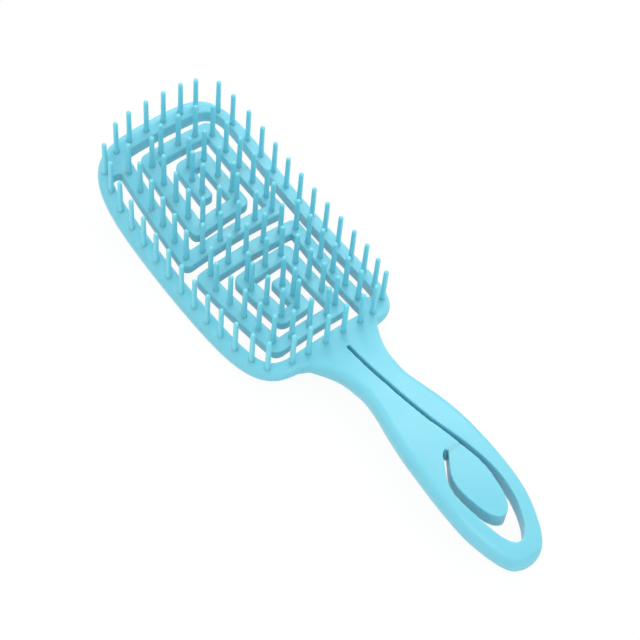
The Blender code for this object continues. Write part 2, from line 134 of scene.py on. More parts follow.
# Plan places of the far spring, as shares of half the head's length and width.
SPIRAL_PATH_SHARES = (
    (-0.893, -0.553),
    (-0.081, -0.628),
    (-0.085, 0.612),
    (-0.770, 0.534),
    (-0.767, -0.304),
    (-0.220, -0.321),
    (-0.242, 0.301),
    (-0.620, 0.259),
    (-0.615, -0.011),
    (-0.362, -0.006),
)
# First pin, last pin and count of each row, on the strip that carries it.
SPIRAL_PIN_ROW_SHARES = (
    ("left", (-0.770, -0.566), (-0.101, -0.628), 6),
    ("near", (-0.077, -0.438), (-0.085, 0.537), 5),
    ("right", (-0.193, 0.602), (-0.724, 0.534), 5),
    ("far", (-0.769, 0.349), (-0.767, -0.131), 3),
    ("far", (-0.727, -0.302), (-0.727, -0.302), 1),
    ("inner_left", (-0.592, -0.310), (-0.321, -0.321), 3),
    ("inner_left", (-0.222, -0.250), (-0.222, -0.250), 1),
    ("inner_near", (-0.234, -0.014), (-0.252, 0.258), 2),
    ("inner_right", (-0.330, 0.302), (-0.601, 0.256), 3),
    ("core", (-0.606, 0.054), (-0.606, 0.054), 1),
    ("core", (-0.519, -0.013), (-0.416, -0.006), 2),
)
STRIP_NAMES = ("left", "near", "right", "far", "inner_left", "inner_near", "inner_right", "core")
CORNER_PIN_SHARES = (0.856, 0.784)

# Neck and handle: place as a share of its length, then the left and right half width as shares
# of its widest. The neck leans a little to the right of the head's middle.
WIDTH_SHARES = (
    (-0.066, 1.57, 1.55),
    (-0.041, 1.42, 1.38),
    (-0.030, 1.29, 1.27),
    (-0.014, 1.10, 1.15),
    (0.000, 0.99, 1.08),
    (0.055, 0.775, 0.88),
    (0.110, 0.665, 0.735),
    (0.165, 0.63, 0.66),
    (0.225, 0.62, 0.63),
    (0.300, 0.70, 0.71),
    (0.390, 0.835, 0.835),
    (0.490, 0.94, 0.93),
    (0.590, 0.985, 0.97),
    (0.660, 1.00, 0.985),
    (0.740, 0.985, 0.98),
    (0.810, 0.935, 0.935),
    (0.870, 0.83, 0.83),
    (0.925, 0.69, 0.69),
    (0.957, 0.57, 0.57),
    (0.978, 0.45, 0.45),
    (0.991, 0.32, 0.32),
    (0.998, 0.18, 0.18),
    (1.000, 0.06, 0.06),
)
# The long slit: its line down the neck, then the two edges that part round the leaf.
SLIT_LINE_SHARES = (
    (0.015, 0.045),
    (0.080, 0.010),
    (0.150, -0.010),
    (0.220, 0.000),
    (0.300, 0.025),
    (0.380, 0.085),
    (0.440, 0.150),
)
SLIT_LEFT_SHARES = ((0.480, 0.180), (0.520, 0.235), (0.5585, 0.285))
WINDOW_SHARES = (
    (0.480, 0.262),
    (0.515, 0.330),
    (0.565, 0.425),
    (0.630, 0.522),
    (0.680, 0.578),
    (0.725, 0.600),
    (0.770, 0.588),
    (0.812, 0.543),
    (0.848, 0.475),
    (0.878, 0.395),
    (0.903, 0.300),
    (0.922, 0.180),
    (0.931, 0.060),
    (0.931, -0.050),
    (0.923, -0.150),
    (0.905, -0.250),
    (0.878, -0.340),
    (0.840, -0.425),
    (0.794, -0.505),
    (0.739, -0.585),
    (0.700, -0.612),
    (0.670, -0.595),
    (0.640, -0.530),
    (0.612, -0.430),
    (0.588, -0.330),
    (0.566, -0.240),
    (0.553, -0.130),
    (0.554, -0.070),
)
LEAF_SHARES = (
    (0.595, 0.350),
    (0.640, 0.412),
    (0.690, 0.435),
    (0.740, 0.415),
    (0.785, 0.370),
    (0.817, 0.280),
    (0.835, 0.160),
    (0.840, 0.050),
    (0.833, -0.080),
    (0.812, -0.215),
    (0.780, -0.315),
    (0.740, -0.395),
    (0.700, -0.445),
    (0.668, -0.448),
    (0.638, -0.400),
    (0.608, -0.285),
    (0.585, -0.170),
)
LEAF_HINGE_SHARE = 0.5614
LEAF_ROOT_SHARE = -0.062
LEAF_CUT_SIDE_SHARE = 0.06
LEAF_CUT_ALONG_SHARE = 0.18

# Camera
CAMERA_PLACE = (0.354752, -0.271170, 0.631989)
CAMERA_AZIMUTH = 53.0070
CAMERA_ELEVATION = 53.8947
CAMERA_LENS = 112.350
CAMERA_CLIP_START = 10 * MM


def length(name, description, default):
    """One size in the sidebar, in metres."""
    return FloatProperty(
        name=name, description=description, default=default, min=0, unit="LENGTH", precision=5
    )


class VentBrushSizes(bpy.types.PropertyGroup):
    """Sizes of the moulding."""

    head_half_length: length("Half head length", "From the middle of the head to its end", 64.4 * MM)
    head_half_width: length("Half head width", "From the middle of the head to its side", 35.2 * MM)
    rim_side_width: length("Rim width, sides", "Width of the rim along the sides of the head", 6.6 * MM)
    rim_end_width: length("Rim width, ends", "Width of the rim round the ends of the head", 7.2 * MM)
    rim_thickness: length("Rim thickness", "Thickness of the rim", 6.5 * MM)
    head_curve: length("Head curve", "Radius of the hollow along the head", 215 * MM)
    crown: length("Crown", "Radius of the crown across the head and handle", 117 * MM)
    strip_width: length("Strip width", "Width of the strips of the springs", 6.2 * MM)
    strip_thickness: length("Strip thickness", "Thickness of the strips of the springs", 5.2 * MM)
    pin_height: length("Pin height", "Height of a pin above the face", 19.0 * MM)
    pin_base: length("Pin base radius", "Radius of a pin at its foot", 1.08 * MM)
    pin_tip: length("Pin tip radius", "Radius of a pin at its domed tip", 0.98 * MM)
    handle_length: length("Handle length", "From the neck to the end of the handle", 110.8 * MM)
    grip_half_width: length("Half grip width", "Half the handle's widest width", 15.5 * MM)
    grip_thickness: length("Grip thickness", "Thickness of the handle", 9.0 * MM)
    leaf_thickness: length("Leaf thickness", "Thickness of the leaf in the handle", 8.4 * MM)
    handle_curve: length("Handle curve", "Radius of the arch along the handle", 150 * MM)


def linear(code):
    """A colour from its sRGB hex code, as the linear values that a shader takes."""
    values = [int(code[k:k + 2], 16) / 255 for k in (0, 2, 4)]
    return [v / 12.92 if v <= 0.04045 else ((v + 0.055) / 1.055) ** 2.4 for v in values]


def colour(name, description, code):
    """One colour in the sidebar, its default from an sRGB hex code."""
    return FloatVectorProperty(
        name=name, description=description, default=linear(code), min=0, max=1, subtype="COLOR"
    )


def share_of_one(name, description, default):
    """One value from 0 to 1 in the sidebar."""
    return FloatProperty(
        name=name, description=description, default=default, min=0, max=1, subtype="FACTOR"
    )


class VentBrushFinish(bpy.types.PropertyGroup):
    """Colours and finish of the plastic and the stage."""

    plastic: colour("Plastic", "Colour of the polypropylene", "7CCCDC")
    plastic_deep: colour("Plastic, richer", "Where the pigment lies a little denser", "74C8D9")
    floor: colour("Floor", "Colour of the floor", "F4F6F7")
    roughness: share_of_one("Roughness", "Roughness of the satin faces", 0.36)
    pin_roughness: share_of_one("Pin roughness", "Roughness of the pins", 0.34)


# Plan geometry

class Mould:
    """The brush's surfaces in the frame of its mould, from the sizes in the sidebar."""

    def __init__(self, sizes):
        self.size = sizes
        self.handle_start = sizes.head_half_length + NECK_SEAM_DISTANCE
        self.handle_end = self.handle_start + sizes.handle_length
        self.curve_change = self.handle_start + CURVE_CHANGE_DISTANCE
        self.inner_half_length = sizes.head_half_length - sizes.rim_end_width
        self.inner_half_width = sizes.head_half_width - sizes.rim_side_width

    def height(self, s, t):
        """Height of the face: hollow along the head, arched along the handle, crowned across."""
        beyond = max(s - self.curve_change, 0)
        inside = min(s, self.curve_change)
        spine = inside * inside / (2 * self.size.head_curve)
        spine += self.curve_change / self.size.head_curve * beyond
        spine -= beyond * beyond / (2 * self.size.handle_curve)
        return spine - t * t / (2 * self.size.crown)

    def point(self, s, t, depth):
        """A point straight under the face."""
        return Vector((s, t, self.height(s, t) - depth))

    def head_place(self, shares, turn):
        """A plan place on the head, turned half round for the near spring."""
        along, across = shares
        return Vector((turn * along * self.size.head_half_length, turn * across * self.size.head_half_width))

    def handle_place(self, shares):
        """A plan place on the handle from shares of its length and of its widest half width."""
        across = shares[1] * self.size.grip_half_width
        return Vector((self.handle_start + shares[0] * self.size.handle_length, across))


def rest_pose():
    """The turn and shift from the mould to the floor."""
    return Matrix.Translation(REST_SHIFT) @ Matrix.Rotation(REST_TILT, 4, "Y")


def outline_width(s, half_length, half_width, power=OUTLINE_POWER):
    """Half width of a rounded rectangle at the place s."""
    share = min(abs(s) / half_length, 1)
    return half_width * (1 - share ** power) ** (1 / power)


def spread_evenly(line, parts):
    """Points at even steps along a line of plan points."""
    lengths = [0]
    for a, b in zip(line, line[1:]):
        lengths.append(lengths[-1] + (b - a).length)
    result = []
    k = 0
    for step in range(parts + 1):
        goal = lengths[-1] * step / parts
        while k < len(line) - 2 and lengths[k + 1] < goal:
            k += 1
        share = (goal - lengths[k]) / (lengths[k + 1] - lengths[k])
        result.append(line[k].lerp(line[k + 1], share))
    return result


def rounded_rectangle(half_length, half_width, power):
    """The plan outline of a rounded rectangle, each quarter in the same number of even steps."""
    fine = []
    for step in range(QUARTER_STEPS + 1):
        angle = pi / 2 * step / QUARTER_STEPS
        reach = (cos(angle) ** power + sin(angle) ** power) ** (-1 / power)
        fine.append(Vector((half_length * cos(angle), half_width * sin(angle))) * reach)
    quarter = spread_evenly(fine, QUARTER_STEPS)
    outline = []
    for way, along, across in ((1, 1, 1), (-1, -1, 1), (1, -1, -1), (-1, 1, -1)):
        outline += [Vector((p.x * along, p.y * across)) for p in quarter[::way][:-1]]
    return outline


def curve_through(points, parts):
    """A smooth line through points, with the same number of parts between each two."""
    result = []
    last = len(points) - 1
    for k in range(last):
        p0 = points[max(k - 1, 0)]
        p1 = points[k]
        p2 = points[k + 1]
        p3 = points[min(k + 2, last)]
        for part in range(parts):
            u = part / parts
            line = p1 + (p2 - p0) * u / 2
            line += (p0 - p1 * 5 / 2 + p2 * 2 - p3 / 2) * u * u
            line += (p1 * 3 - p2 * 3 + p3 - p0) * u * u * u / 2
            result.append(line)
    result.append(points[last].copy())
    return result


def left_of(along):
    """The way a quarter turn to the left of another, in plan."""
    return Vector((-along.y, along.x))


# Meshes

def skin(rings, closed=False):
    """Points and faces of a skin over rings of the same length, capped unless it closes on itself."""
    size = len(rings[0])
    points = [p for ring in rings for p in ring]
    faces = []
    rows = len(rings) if closed else len(rings) - 1
    for row in range(rows):
        here = row * size
        there = (row + 1) % len(rings) * size
        for k in range(size):
            n = (k + 1) % size
            faces.append((here + k, here + n, there + n, there + k))
    if not closed:
        last = (len(rings) - 1) * size
        faces.append(tuple(range(size - 1, -1, -1)))
        faces.append(tuple(last + k for k in range(size)))
    return points, faces


def join_shells(shells):
    """Several shells as the points and faces of one."""
    points = []
    faces = []
    for shell_points, shell_faces in shells:
        start = len(points)
        points.extend(shell_points)
        faces.extend(tuple(start + k for k in face) for face in shell_faces)
    return points, faces


def new_mesh(name, shell):
    mesh = bpy.data.meshes.new(name)
    mesh.from_pydata([tuple(p) for p in shell[0]], [], shell[1])
    work = bmesh.new()
    work.from_mesh(mesh)
    bmesh.ops.recalc_face_normals(work, faces=work.faces)
    work.to_mesh(mesh)
    work.free()
    return mesh


def new_object(name, mesh):
    made = bpy.data.objects.new(name, mesh)
    bpy.context.scene.collection.objects.link(made)
    return made


def finished_mesh(name, source):
    """The mesh of an object with its modifiers applied. The object is used up."""
    graph = bpy.context.evaluated_depsgraph_get()
    mesh = bpy.data.meshes.new_from_object(source.evaluated_get(graph))
    mesh.name = name
    bpy.data.objects.remove(source)
    return mesh


def combined(name, base, tool, operation):
    """The mesh left when one mesh is cut by, or kept inside, another."""
    body = new_object(name, base)
    other = new_object(name + "_tool", tool)
    step = body.modifiers.new(operation, "BOOLEAN")
    step.operation = operation
    step.solver = "EXACT"
    step.object = other
    mesh = finished_mesh(name, body)
    bpy.data.objects.remove(other)
    return mesh


def place_piece(name, mesh, material, sharp_angle=None):
    """A finished piece of the brush, laid from the mould on the floor."""
    mesh.transform(rest_pose())
    mesh.materials.clear()
    mesh.materials.append(material)
    mesh.shade_smooth()
    if sharp_angle is not None:
        mesh.set_sharp_from_angle(angle=sharp_angle)
    made = new_object(name, mesh)
    return made


# Finish

# Polypropylene: sizes of the pattern, then how far light runs in it as red, green and blue.
DRIFT_SIZE = 15 * MM
DRIFT_RANGE = (0.3, 0.7)
DRIFT_OF_GLOSS = 0.04
GRAIN_SIZE = 0.4 * MM
GRAIN_RELIEF = 0.02 * MM
GRAIN_STRENGTH = 0.25
PLASTIC_IOR = 1.49
SCATTER_SHARE = 0.5
SCATTER_DEPTH = 5 * MM
SCATTER_REACH = (0.45, 1.0, 1.1)


def add_node(tree, kind, settings=None, values=None, links=None):
    """A node with its settings, the values of its sockets and the links into them."""
    node = tree.nodes.new(kind)
    for name, value in (settings or {}).items():
        setattr(node, name, value)
    for name, value in (values or {}).items():
        node.inputs[name].default_value = value
    for name, source in (links or {}).items():
        tree.links.new(source, node.inputs[name])
    return node


def moulded_polypropylene(name, finish, roughness):
    """Injection moulded polypropylene, coloured in the mass.

    The spark eroded mould leaves a fine satin texture of about 0.05 mm, drawn here at
    0.4 mm so that it shows, and the slow flow of the melt leaves soft drifts of colour
    and gloss some 15 mm across. The plastic lets a little light in, which lifts its thin
    parts and fills its corners with a richer blue.
    """
    made = bpy.data.materials.get(name)
    if made:
        return made
    made = bpy.data.materials.new(name)
    made.use_nodes = True
    tree = made.node_tree
    shader = tree.nodes["Principled BSDF"]
    place = add_node(tree, "ShaderNodeTexCoord").outputs["Object"]
    drift = add_node(
        tree,
        "ShaderNodeTexNoise",
        values={"Scale": 1 / DRIFT_SIZE, "Detail": 3, "Roughness": 0.5},
        links={"Vector": place},
    )
    grain = add_node(
        tree,
        "ShaderNodeTexNoise",
        values={"Scale": 1 / GRAIN_SIZE, "Detail": 2, "Roughness": 0.6},
        links={"Vector": place},
    )
    pigment = add_node(
        tree,
        "ShaderNodeMix",
        settings={"data_type": "RGBA"},
        values={"A": (*finish.plastic, 1), "B": (*finish.plastic_deep, 1)},
        links={"Factor": drift.outputs["Fac"]},
    )
    gloss = add_node(
        tree,
        "ShaderNodeMapRange",
        values={
            "From Min": DRIFT_RANGE[0],
            "From Max": DRIFT_RANGE[1],
            "To Min": roughness - DRIFT_OF_GLOSS,
            "To Max": roughness + DRIFT_OF_GLOSS,
        },
        links={"Value": drift.outputs["Fac"]},
    )
    relief = add_node(
        tree,
        "ShaderNodeBump",
        values={"Strength": GRAIN_STRENGTH, "Distance": GRAIN_RELIEF},
        links={"Height": grain.outputs["Fac"]},
    )
    tree.links.new(pigment.outputs["Result"], shader.inputs["Base Color"])
    tree.links.new(gloss.outputs["Result"], shader.inputs["Roughness"])
    tree.links.new(relief.outputs["Normal"], shader.inputs["Normal"])
    shader.inputs["IOR"].default_value = PLASTIC_IOR
    shader.inputs["Subsurface Weight"].default_value = SCATTER_SHARE
    shader.inputs["Subsurface Radius"].default_value = SCATTER_REACH
    shader.inputs["Subsurface Scale"].default_value = SCATTER_DEPTH
    return made


def satin_face(finish):
    """Faces with the full texture of the mould: a broad soft sheen."""
    return moulded_polypropylene("Moulded polypropylene, sky blue, satin face", finish, finish.roughness)


def polished_pin(finish):
    """Pins, rubbed smoother as they are drawn from the mould: a slightly tighter highlight."""
    return moulded_polypropylene("Moulded polypropylene, sky blue, drawn pins", finish, finish.pin_roughness)


# Rim and handle

def rim_shell(mould):
    """The rim, rounded along its outer edge, top and bottom."""
    sizes = mould.size
    low = sizes.rim_thickness
    outer = rounded_rectangle(sizes.head_half_length, sizes.head_half_width, OUTLINE_POWER)
    inner = rounded_rectangle(mould.inner_half_length, mould.inner_half_width, INNER_OUTLINE_POWER)
    rings = []
    for k, place in enumerate(outer):
        inward = left_of(outer[(k + 1) % len(outer)] - outer[k - 1]).normalized()
        top = []
        back = []
        for step in range(ARC_STEPS + 1):
            angle = pi / 2 * step / ARC_STEPS
            spot = place + inward * RIM_ROUND * (1 - cos(angle))
            depth = RIM_ROUND * (1 - sin(angle))
            top.append(mould.point(spot.x, spot.y, depth))
            back.append(mould.point(spot.x, spot.y, low - depth))
        edge = [mould.point(inner[k].x, inner[k].y, depth) for depth in (0, low)]
        rings.append(top + edge + back[::-1])
    return skin(rings, closed=True)


def handle_thickness(mould, s, full):
    """The rim's thickness at the head, swelling to the full one along the neck."""
    share = min(max((s - mould.handle_start) / NECK_RAMP_LENGTH + 1 / 2, 0), 1)
    ease = share * share * (3 - 2 * share)
    return mould.size.rim_thickness + (full - mould.size.rim_thickness) * ease


def handle_ring(mould, s, halves, full):
    """The section of the neck or handle at the place s."""
    short = min(max(GRIP_ROUND - (mould.handle_end - s), 0), GRIP_ROUND)
    top = GRIP_ROUND - sqrt(GRIP_ROUND * GRIP_ROUND - short * short)
    low = handle_thickness(mould, s, full) - top
    rounding = min(GRIP_ROUND, min(halves) * ROUNDING_SHARE, (low - top) / 2 * ROUNDING_SHARE)
    corner = []
    for step in range(ARC_STEPS + 1):
        angle = pi / 2 * step / ARC_STEPS
        corner.append((rounding * (1 - sin(angle)), top + rounding * (1 - cos(angle))))
    for step in range(ARC_STEPS + 1):
        angle = pi / 2 * step / ARC_STEPS
        corner.append((rounding * (1 - cos(angle)), low - rounding * (1 - sin(angle))))
    left = [(inward - halves[0], depth) for inward, depth in corner]
    right = [(halves[1] - inward, depth) for inward, depth in corner]
    first = left[0][0]
    reach = right[0][0] - first
    face = [(first + reach * k / ACROSS_PARTS, top) for k in range(1, ACROSS_PARTS)]
    back = [(t, low) for t, _ in reversed(face)]
    return [mould.point(s, t, depth) for t, depth in face + right + back + left[::-1]]


def handle_shell(mould, full):
    """The neck and handle before the slit and window, with a thickness at the grip."""
    widest = mould.size.grip_half_width
    places = []
    for share, left, right in WIDTH_SHARES:
        places.append(Vector((mould.handle_place((share, 0)).x, left * widest, right * widest)))
    line = curve_through(places, CURVE_PARTS)
    return skin([handle_ring(mould, min(p.x, mould.handle_end), (p.y, p.z), full) for p in line])


def prism(outline):
    """A straight block over a plan outline."""
    size = len(outline)
    points = [Vector((p.x, p.y, side * CUT_REACH)) for side in (-1, 1) for p in outline]
    faces = [tuple(range(size - 1, -1, -1)), tuple(range(size, 2 * size))]
    for k in range(size):
        n = (k + 1) % size
        faces.append((k, n, size + n, size + k))
    return points, faces


def leaf_root(mould):
    """The two ends of the line on which the leaf bends at its root."""
    ends = [(LEAF_HINGE_SHARE, LEAF_ROOT_SHARE), (LEAF_HINGE_SHARE, SLIT_LEFT_SHARES[-1][1])]
    return [mould.handle_place(shares) for shares in ends]


def window_outline(mould):
    """The opening of the handle: the long slit, the leaf's window and the hanging hole."""
    line = curve_through([mould.handle_place(shares) for shares in SLIT_LINE_SHARES], CURVE_PARTS)
    left = []
    right = []
    for k, place in enumerate(line):
        along = (line[min(k + 1, len(line) - 1)] - line[max(k - 1, 0)]).normalized()
        across = left_of(along) * SLIT_HALF_WIDTH
        right.append(place + across)
        left.append(place - across)
    first = (line[1] - line[0]).normalized()
    aside = left_of(first)
    cap = []
    for step in range(1, ARC_STEPS):
        angle = pi * step / ARC_STEPS
        cap.append(line[0] - (aside * cos(angle) + first * sin(angle)) * SLIT_HALF_WIDTH)
    right += curve_through([mould.handle_place(shares) for shares in WINDOW_SHARES], CURVE_PARTS)
    left += [mould.handle_place(shares) for shares in SLIT_LEFT_SHARES[:-1]]
    return cap + right + leaf_root(mould) + left[::-1]


def leaf_outline(mould):
    """The leaf's outline in plan, running a little past its root into the handle."""
    left, right = leaf_root(mould)
    back = Vector((LEAF_ROOT_OVERLAP, 0))
    round_leaf = [mould.handle_place(shares) for shares in LEAF_SHARES]
    edge = curve_through([right] + round_leaf + [left], CURVE_PARTS)
    return [right - back] + edge + [left - back]


def handle_mesh(mould):
    """The handle with its slit and window cut through it and the leaf grown back into it."""
    whole = new_mesh("handle", handle_shell(mould, mould.size.grip_thickness))
    cut = new_mesh("window", prism(window_outline(mould)))
    thin = new_mesh("leaf", handle_shell(mould, mould.size.leaf_thickness))
    block = new_mesh("leaf_block", prism(leaf_outline(mould)))
    return combined("handle", whole, cut, "DIFFERENCE"), combined("leaf", thin, block, "INTERSECT")


def web_outline(mould, turn):
    """Plan outline of the web in the rim's corner, up to the slot's round end beside the strip."""
    sizes = mould.size
    hinge, along = strip_hinge(mould, 0, turn)
    left = left_of(along)
    half = sizes.strip_width / 2
    back = hinge - along * (ROOT_HINGE_DISTANCE + half)
    end = hinge + along * (ROOT_CUT_DISTANCE + ROOT_SPARE)
    edge = (hinge - left * half).y
    slot = abs(hinge.x) - ROOT_SLOT_ROUND
    width = outline_width(slot, mould.inner_half_length, mould.inner_half_width, INNER_OUTLINE_POWER)
    rail = -turn * width
    middle = Vector((-turn * slot, (edge + rail) / 2))
    outline = [back + left * half, end + left * half, end - left * half]
    for step in range(ARC_STEPS * 2 + 1):
        angle = pi * step / (ARC_STEPS * 2)
        across = left * cos(angle) * abs(edge - rail) / 2
        outline.append(middle + across - along * sin(angle) * ROOT_SLOT_ROUND)
    outline.append(Vector((middle.x, rail)) - left * sizes.rim_side_width / 2)
    corner_s = sizes.head_half_length - sizes.rim_end_width / 2
    corner_t = sizes.head_half_width - sizes.rim_side_width / 2
    corner = Vector((corner_s, corner_t))
    return outline + [-corner * turn * WEB_CORNER_SHARE, back - left * half]


def root_web(mould, turn):
    """The web in the rim's corner, out of which the first strip grows."""
    sizes = mould.size
    top = STRIP_RECESS
    low = STRIP_RECESS + sizes.strip_thickness
    inner = [sizes.head_half_width * k / WEB_PARTS for k in range(WEB_PARTS + 1)]
    rings = []
    for k in range(WEB_PARTS + 1):
        s = sizes.head_half_length * (1 + k / WEB_PARTS) / 2
        places = [(-turn * s, -turn * t) for t in inner]
        ring = [mould.point(*place, top) for place in places]
        rings.append(ring + [mould.point(*place, low) for place in reversed(places)])
    slab = new_mesh("web_slab", skin(rings))
    block = new_mesh("web_outline", prism(web_outline(mould, turn)))
    return combined("web", slab, block, "INTERSECT")


def moulded_skin(mould):
    """Rim, webs, neck, handle and leaf run together into one skin with softened edges."""
    work = bmesh.new()
    webs = [root_web(mould, turn) for turn in (1, -1)]
    for part in (new_mesh("rim", rim_shell(mould)), *webs, *handle_mesh(mould)):
        work.from_mesh(part)
    mesh = bpy.data.meshes.new("skin")
    work.to_mesh(mesh)
    work.free()
    body = new_object("skin", mesh)
    remesh = body.modifiers.new("One skin", "REMESH")
    remesh.mode = "VOXEL"
    remesh.voxel_size = SKIN_VOXEL
    remesh.use_smooth_shade = True
    soften = body.modifiers.new("Soft edges", "SMOOTH")
    soften.factor = SKIN_SMOOTHING_FACTOR
    soften.iterations = SKIN_SMOOTHING
    return finished_mesh("skin", body)


def with_edges_and_corners(faces):
    """Faces with their edges and corners, each once and in the same order on every run."""
    return list(dict.fromkeys(item for face in faces for item in (face, *face.edges, *face.verts)))


def cut_off_roots(mould, mesh):
    """Ends the webs flat where the first strips go on."""
    work = bmesh.new()
    work.from_mesh(mesh)
    for turn in (1, -1):
        hinge, along = strip_hinge(mould, 0, turn)
        place = hinge + along * ROOT_CUT_DISTANCE
        near = []
        for face in work.faces:
            away = face.calc_center_median().to_2d() - place
            if abs(away.dot(left_of(along))) < mould.size.strip_width * ROOT_CUT_SIDE_SHARE:
                if -ROOT_CUT_DISTANCE < away.dot(along) < ROOT_CUT_AHEAD:
                    near.append(face)
        bmesh.ops.bisect_plane(
            work,
            geom=with_edges_and_corners(near),
            plane_co=(*place, 0),
            plane_no=(*along, 0),
            dist=0,
            clear_outer=True,
        )
        bmesh.ops.holes_fill(work, edges=[edge for edge in work.edges if edge.is_boundary], sides=0)
    work.to_mesh(mesh)
    work.free()


def cut_off_leaf(mould, mesh):
    """The skin without the leaf, and the leaf, parted on the line on which it bends."""
    left, right = leaf_root(mould)
    side = LEAF_CUT_SIDE_SHARE * mould.size.grip_half_width
    reach = LEAF_CUT_ALONG_SHARE * mould.size.grip_half_width
    work = bmesh.new()
    work.from_mesh(mesh)
    near = []
    for face in work.faces:
        places = [corner.co for corner in face.verts]
        if all(abs(p.x - left.x) < reach and left.y - side < p.y < right.y + side for p in places):
            near.append(face)
    region = with_edges_and_corners(near)
    cut = bmesh.ops.bisect_plane(
        work, geom=region, plane_co=(left.x, 0, 0), plane_no=(1, 0, 0), dist=0
    )
    seam = [item for item in cut["geom_cut"] if isinstance(item, bmesh.types.BMEdge)]
    bmesh.ops.split_edges(work, edges=seam)
    middle = mould.handle_place((LEAF_SHARES[2][0], 0))
    seed = min(work.verts, key=lambda v: (v.co.x - middle.x) ** 2 + (v.co.y - middle.y) ** 2)
    found = {seed}
    edge_of_search = [seed]
    while edge_of_search:
        fresh = set()
        for vertex in edge_of_search:
            for edge in vertex.link_edges:
                fresh.add(edge.other_vert(vertex))
        edge_of_search = [v for v in fresh if v not in found]
        found.update(edge_of_search)
    bmesh.ops.holes_fill(work, edges=[edge for edge in work.edges if edge.is_boundary], sides=0)
    parts = []
    for keep_leaf in (False, True):
        part = work.copy()
        part.verts.ensure_lookup_table()
        drop = [part.verts[v.index] for v in work.verts if (v in found) != keep_leaf]
        bmesh.ops.delete(part, geom=drop, context="VERTS")
        made = bpy.data.meshes.new("leaf" if keep_leaf else "rim_and_handle")
        part.to_mesh(made)
        part.free()
        parts.append(made)
    work.free()
    return parts


def rest_on_floor(mesh):
    """The lands on which the brush lies are flat."""
    to_floor = rest_pose()
    from_floor = to_floor.inverted()
    for vertex in mesh.vertices:
        place = to_floor @ vertex.co
        if place.z < 0:
            place.z = 0
            vertex.co = from_floor @ place


class VENTBRUSH_OT_rim_and_handle(bpy.types.Operator):
    """Builds the rim, the neck, the handle and the leaf"""

    bl_idname = "vent_brush.rim_and_handle"
    bl_label = "Rim, handle and leaf"

    def execute(self, context):
        mould = Mould(context.scene.vent_brush_sizes)
        finish = context.scene.vent_brush_finish
        whole = moulded_skin(mould)
        cut_off_roots(mould, whole)
        body, leaf = cut_off_leaf(mould, whole)
        rest_on_floor(body)
        piece = place_piece("rim_and_handle", body, satin_face(finish), SKIN_SHARP_ANGLE)
        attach(piece, "frame")
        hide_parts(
            "rim_left_rail", "rim_right_rail", "rim_far_bow", "rim_near_bow", "handle_grip"
        )
        tongue = place_piece("leaf", leaf, satin_face(finish), SKIN_SHARP_ANGLE)
        bend = leaf_root(mould)[0]
        start = rest_pose() @ mould.point(bend.x, 0, 0)
        end = rest_pose() @ mould.point(bend.x + LEAF_BLEND_LENGTH, 0, 0)
        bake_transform(tongue)
        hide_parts("handle_leaf")
        return {"FINISHED"}


# Springs

def spring_path(mould, turn):
    """The corners of a spring's path in plan and the ways between them."""
    corners = [mould.head_place(shares, turn) for shares in SPIRAL_PATH_SHARES]
    return corners, [(b - a).normalized() for a, b in zip(corners, corners[1:])]


def strip_hinge(mould, index, turn):
    """The plan place at which a strip bends, and the way it runs there."""
    corners, ways = spring_path(mould, turn)
    here = corners[index]
    along = ways[index]
    if index:
        return here + along * HINGE_FROM_CORNER, along
    stub = abs(here.x) - mould.inner_half_length + ROOT_HINGE_DISTANCE
    return here + along * stub / abs(along.x), along


def square_edges(place, along, half):
    """The left and right edge of a strip at a place on its path."""
    return place + left_of(along) * half, place - left_of(along) * half


def edge_round_corner(corner, before, after, aside, radius, steps):
    """One edge of a strip round a corner of its path, aside being to the left of the path."""
    lefts = (left_of(before), left_of(after))
    tip = corner + (lefts[0] + lefts[1]) * aside / (1 + lefts[0].dot(lefts[1]))
    points = []
    for step in range(steps + 1):
        angle = pi / 2 * step / steps
        points.append(tip - before * radius * (1 - sin(angle)) + after * radius * (1 - cos(angle)))
    return points


def corner_edges(corner, before, after, half):
    """Both edges round a corner: nearly sharp on the inside and rounded on the outside."""
    # The inner edge has two steps more, for the two points that the outer edge gains below.
    inner = edge_round_corner(corner, before, after, half, STRIP_INNER_CORNER, BEND_STEPS + 2)
    outer = edge_round_corner(corner, before, after, -half, STRIP_OUTER_CORNER, BEND_STEPS)
    outer.insert(0, inner[0] - left_of(before) * half * 2)
    outer.append(inner[-1] - left_of(after) * half * 2)
    return list(zip(inner, outer))


def strip_edges(mould, index, turn):
    """Both plan edges of the strip that bends at one hinge, from the middle of the run before it."""
    corners, ways = spring_path(mould, turn)
    half = mould.size.strip_width / 2
    if index:
        edges = [square_edges(corners[index - 1].lerp(corners[index], 1 / 2), ways[index - 1], half)]
        edges += corner_edges(corners[index], ways[index - 1], ways[index], half)
    else:
        hinge, along = strip_hinge(mould, 0, turn)
        edges = [square_edges(hinge + along * ROOT_CUT_DISTANCE, along, half)]
    if index == len(STRIP_NAMES) - 1:
        edges += corner_edges(corners[index + 1], ways[index], ways[index + 1], half)
        end = corners[index + 2]
        for step in range(ARC_STEPS):
            angle = pi / 2 * step / (ARC_STEPS - 1) * ROUNDING_SHARE
            place = end - ways[index + 1] * CORE_END_ROUND * (1 - sin(angle))
            edges.append(square_edges(place, ways[index + 1], half - CORE_END_ROUND * (1 - cos(angle))))
    else:
        edges.append(square_edges(corners[index].lerp(corners[index + 1], 1 / 2), ways[index], half))
    filled = [edges[0]]
    for a, b in zip(edges, edges[1:]):
        parts = max(1, round((b[1] - a[1]).length / STRIP_STEP))
        filled += [(a[0].lerp(b[0], k / parts), a[1].lerp(b[1], k / parts)) for k in range(1, parts + 1)]
    return filled


